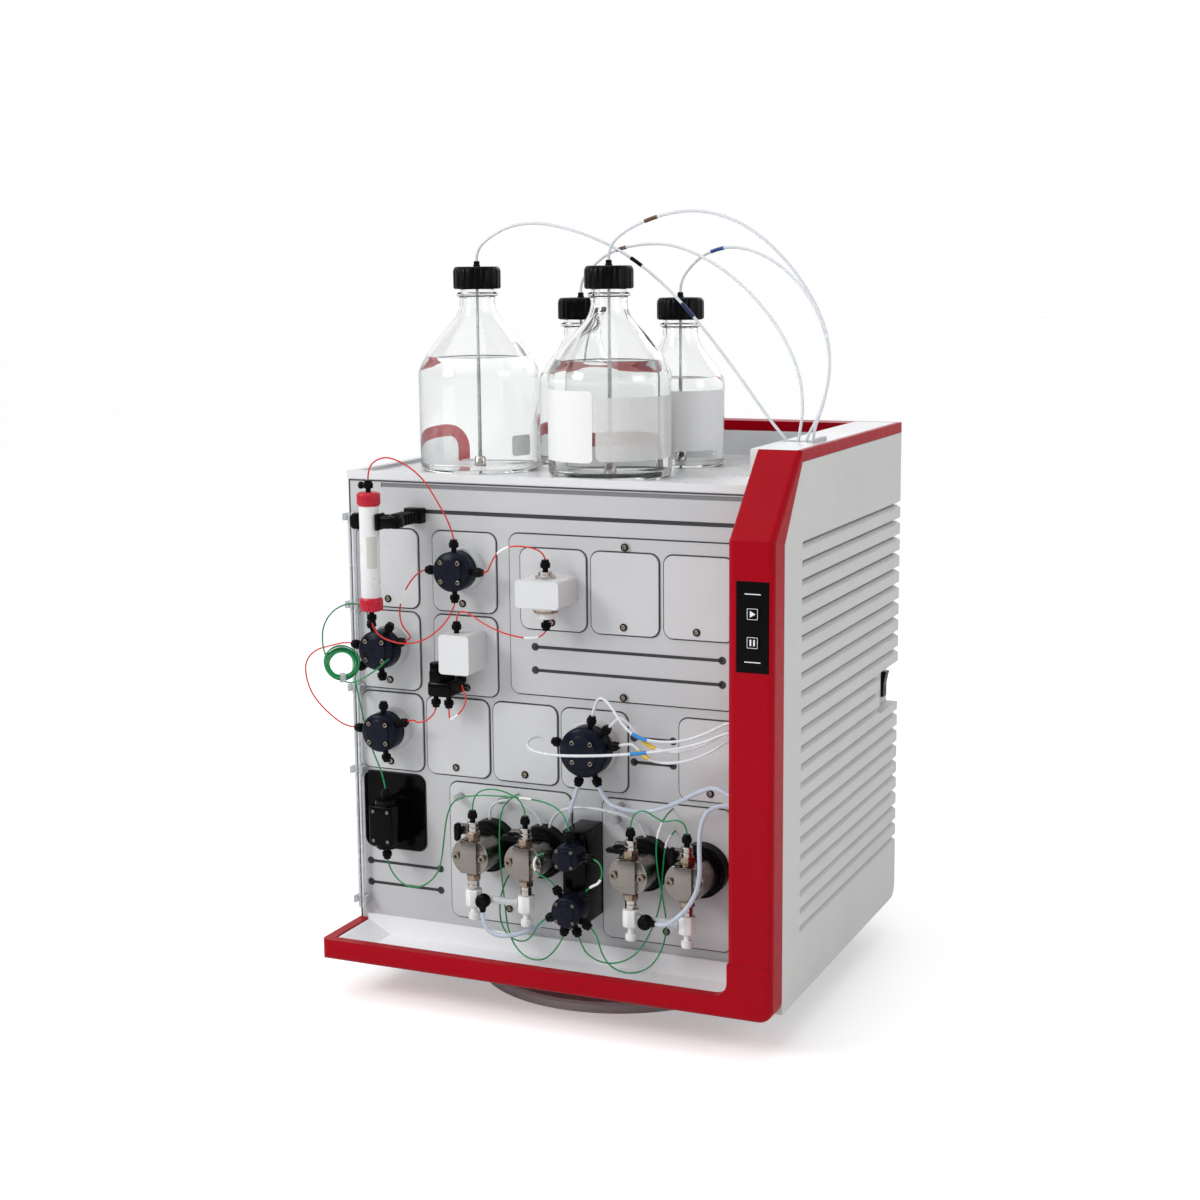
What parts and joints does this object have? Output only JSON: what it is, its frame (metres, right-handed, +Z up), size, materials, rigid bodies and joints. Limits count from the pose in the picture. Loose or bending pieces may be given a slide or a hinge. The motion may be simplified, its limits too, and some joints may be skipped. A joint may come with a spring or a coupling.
{
  "type": "fast protein liquid chromatography system",
  "caption": "Bench protein purification system with a modular wet side, valves, pumps, monitors and a buffer deck above.",
  "frame": {"origin": "on the bench under the middle of the casing's footprint", "axes": "+Z up, -Y towards the user (front with the wet side), +X to the right seen from the front"},
  "size_m": [0.5827, 0.4716, 0.875],
  "materials": {
    "side_cover_grey": "fine textured moulded plastic",
    "panel_grey": "satin moulded plastic",
    "deck_white": "satin white moulded plastic",
    "gloss_red": "glossy lacquered plastic",
    "black_plastic": "semi-gloss black plastic",
    "navy_plastic": "machined dark blue polymer",
    "white_plastic": "white moulded plastic",
    "pump_steel": "turned and brushed stainless steel",
    "screw_steel": "zinc plated screw heads",
    "bottle_glass": "clear borosilicate glass",
    "clear_polymer": "translucent fluoropolymer tube",
    "red_polymer": "red polymer capillary",
    "green_polymer": "green polymer capillary",
    "chassis_metal": "coated sheet steel",
    "drive_metal": "cast aluminium housings",
    "circuit_board": "glass fibre board",
    "column_white": "white polymer tube",
    "foot_grey": "dark polymer with a rubber rim"
  },
  "bodies": {
    "casing": {"chassis_frame": "chassis_metal", "wet_side_panel": "panel_grey", "upper_module_panel": "panel_grey", "module_faceplates": "panel_grey", "panel_screws": "screw_steel", "right_side_cover": "side_cover_grey", "left_side_cover": "side_cover_grey", "rear_panel": "side_cover_grey", "top_cover": "deck_white", "top_rim": "gloss_red", "control_column": "gloss_red", "base_bumper": "gloss_red", "drip_tray": "white_plastic", "control_panel": "black_plastic", "tube_holders": "clear_polymer", "column_tube": "column_white", "column_end_caps": "gloss_red", "column_clamp": "black_plastic", "valve_heads": "navy_plastic", "valve_bezels": "panel_grey", "uv_module_cover": "black_plastic", "uv_flow_cell": "black_plastic", "conductivity_monitor": "white_plastic", "mixer_housing": "white_plastic", "mixer_chamber": "white_plastic", "flow_restrictor": "black_plastic", "pressure_sensor_block": "black_plastic", "pump_heads": "pump_steel", "pump_mounting_rings": "black_plastic", "check_valves": "pump_steel", "inlet_manifolds": "white_plastic", "tube_fittings": "black_plastic", "large_buffer_bottles": "bottle_glass", "small_buffer_bottles": "bottle_glass", "pump_drives": "drive_metal", "valve_drives": "drive_metal", "power_supply": "chassis_metal", "controller_board": "circuit_board", "power_inlet": "black_plastic", "clear_tubes": "clear_polymer", "red_capillaries": "red_polymer", "green_capillaries": "green_polymer", "sample_loop_coil": "green_polymer"},
    "foot": {"swivel_foot": "foot_grey"},
    "start_key": {"start_button": "black_plastic"},
    "pause_key": {"pause_button": "black_plastic"},
    "rocker": {"power_switch": "black_plastic"},
    "fan": {"fan_rotor": "black_plastic"},
    "cap_1": {"bottle_cap_1": "black_plastic"},
    "purge_1": {"purge_knob_1": "black_plastic"},
    "piston_1": {"pump_piston_1": "pump_steel"},
    "cap_2": {"bottle_cap_2": "black_plastic"},
    "purge_2": {"purge_knob_2": "black_plastic"},
    "piston_2": {"pump_piston_2": "pump_steel"},
    "cap_3": {"bottle_cap_3": "black_plastic"},
    "purge_3": {"purge_knob_3": "black_plastic"},
    "piston_3": {"pump_piston_3": "pump_steel"},
    "cap_4": {"bottle_cap_4": "black_plastic"},
    "purge_4": {"purge_knob_4": "black_plastic"},
    "piston_4": {"pump_piston_4": "pump_steel"}
  },
  "joints": [
    {"name": "foot_swivel", "type": "hinge", "parent": "casing", "child": "foot", "pos_m": [0, 0, 0.0457], "axis": [0, 0, 1], "range_deg": [-90, 90]},
    {"name": "start_press", "type": "slide", "parent": "casing", "child": "start_key", "axis": [0, 1, 0], "range_m": [0, 0.001], "stiffness_N_per_m": 1500, "springref_m": -0.0005},
    {"name": "pause_press", "type": "slide", "parent": "casing", "child": "pause_key", "axis": [0, 1, 0], "range_m": [0, 0.001], "stiffness_N_per_m": 1500, "springref_m": -0.0005},
    {"name": "power_rock", "type": "hinge", "parent": "casing", "child": "rocker", "pos_m": [0.2515, 0.217, 0.316], "axis": [0, 1, 0], "range_deg": [-12, 0]},
    {"name": "fan_spin", "type": "hinge", "parent": "casing", "child": "fan", "pos_m": [0.12, 0.222, 0.47], "axis": [0, 1, 0], "continuous": true},
    {"name": "cap_turn_1", "type": "hinge", "parent": "casing", "child": "cap_1", "pos_m": [-0.152, -0.045, 0.805], "axis": [0, 0, 1], "range_deg": [0, 540]},
    {"name": "cap_turn_2", "type": "hinge", "parent": "casing", "child": "cap_2", "pos_m": [0.021, -0.069, 0.805], "axis": [0, 0, 1], "range_deg": [0, 540]},
    {"name": "cap_turn_3", "type": "hinge", "parent": "casing", "child": "cap_3", "pos_m": [-0.075, 0.07, 0.768], "axis": [0, 0, 1], "range_deg": [0, 540]},
    {"name": "cap_turn_4", "type": "hinge", "parent": "casing", "child": "cap_4", "pos_m": [0.05, 0.07, 0.768], "axis": [0, 0, 1], "range_deg": [0, 540]},
    {"name": "purge_turn_1", "type": "hinge", "parent": "casing", "child": "purge_1", "pos_m": [-0.1025, -0.2, 0.207], "axis": [0, 1, 0], "range_deg": [0, 180]},
    {"name": "piston_stroke_1", "type": "slide", "parent": "casing", "child": "piston_1", "axis": [0, 1, 0], "range_m": [-0.004, 0.004]},
    {"name": "purge_turn_2", "type": "hinge", "parent": "casing", "child": "purge_2", "pos_m": [-0.0385, -0.2, 0.207], "axis": [0, 1, 0], "range_deg": [0, 180]},
    {"name": "piston_stroke_2", "type": "slide", "parent": "casing", "child": "piston_2", "axis": [0, 1, 0], "range_m": [-0.004, 0.004]},
    {"name": "purge_turn_3", "type": "hinge", "parent": "casing", "child": "purge_3", "pos_m": [0.0855, -0.2, 0.207], "axis": [0, 1, 0], "range_deg": [0, 180]},
    {"name": "piston_stroke_3", "type": "slide", "parent": "casing", "child": "piston_3", "axis": [0, 1, 0], "range_m": [-0.004, 0.004]},
    {"name": "purge_turn_4", "type": "hinge", "parent": "casing", "child": "purge_4", "pos_m": [0.1495, -0.2, 0.207], "axis": [0, 1, 0], "range_deg": [0, 180]},
    {"name": "piston_stroke_4", "type": "slide", "parent": "casing", "child": "piston_4", "axis": [0, 1, 0], "range_m": [-0.004, 0.004]}
  ],
  "couplings": [
    {"joint": "piston_stroke_2", "follows": "piston_stroke_1", "ratio": -1},
    {"joint": "piston_stroke_4", "follows": "piston_stroke_3", "ratio": -1}
  ]
}
